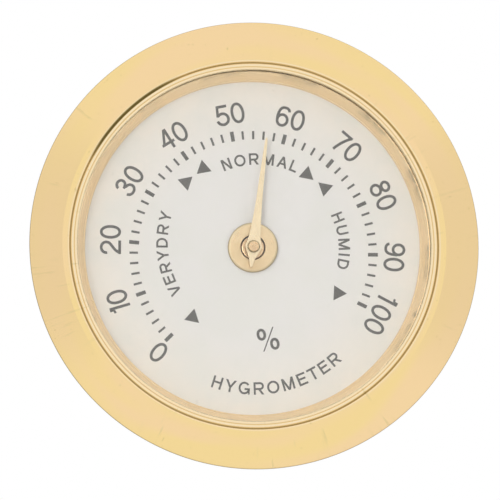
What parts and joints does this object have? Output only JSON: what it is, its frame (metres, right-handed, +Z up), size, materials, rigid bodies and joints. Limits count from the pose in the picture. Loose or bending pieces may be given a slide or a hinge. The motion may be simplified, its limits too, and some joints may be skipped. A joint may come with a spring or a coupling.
{
  "type": "dial hygrometer",
  "caption": "Round analogue hygrometer with a gold bezel, a flat lens over a white percent dial and a shallow case that pushes into a panel hole.",
  "frame": {"origin": "centre of the bezel flange's back face, on the panel's surface", "axes": "+Y along the shaft from the dial into the panel, +Z up on the dial, +X to the right as seen from the front; the dial faces -Y"},
  "size_m": [0.045, 0.013, 0.045],
  "materials": {
    "gold_polished": "polished gold plate",
    "gold_satin": "satin gold plate",
    "lens_clear": "clear",
    "dial_white": "matt off-white lacquer",
    "dial_ink": "printed dark grey ink",
    "brass": "turned",
    "pin_brass": "bright turned",
    "pointer_brass": "pale gilt",
    "steel": "bright zinc",
    "aluminium": "turned",
    "coil_strip": "bronze strip with a moisture-sensitive layer"
  },
  "bodies": {
    "case": {"bezel": "gold_polished", "lens": "lens_clear", "inner_ring": "gold_satin", "dial": "dial_white", "spacer_ring": "aluminium", "rear_case": "gold_satin", "movement_plate": "steel", "hub_eyelet": "brass", "eyelet_washer": "steel", "front_bearing": "brass", "bridge_pillar_left": "brass", "bridge_pillar_right": "brass", "rear_bridge": "steel", "bridge_screw_left": "steel", "bridge_screw_right": "steel"},
    "adjuster": {"adjuster_stud": "brass", "friction_washer": "steel", "adjuster_arm": "steel", "coil_post": "brass", "rear_bearing": "brass", "humidity_coil": "coil_strip"},
    "pointer": {"pointer_staff": "pin_brass", "coil_collet": "brass", "pointer": "pointer_brass"}
  },
  "joints": [
    {"name": "adjuster_turn", "type": "hinge", "parent": "case", "child": "adjuster", "pos_m": [0, 0, 0], "axis": [0, 1, 0], "range_deg": [-45, 45]},
    {"name": "pointer_turn", "type": "hinge", "parent": "adjuster", "child": "pointer", "pos_m": [0, 0, 0], "axis": [0, 1, 0], "range_deg": [-141.7, 108.3], "stiffness_Nm_per_rad": 0.00005, "deforming": ["humidity_coil"]}
  ]
}
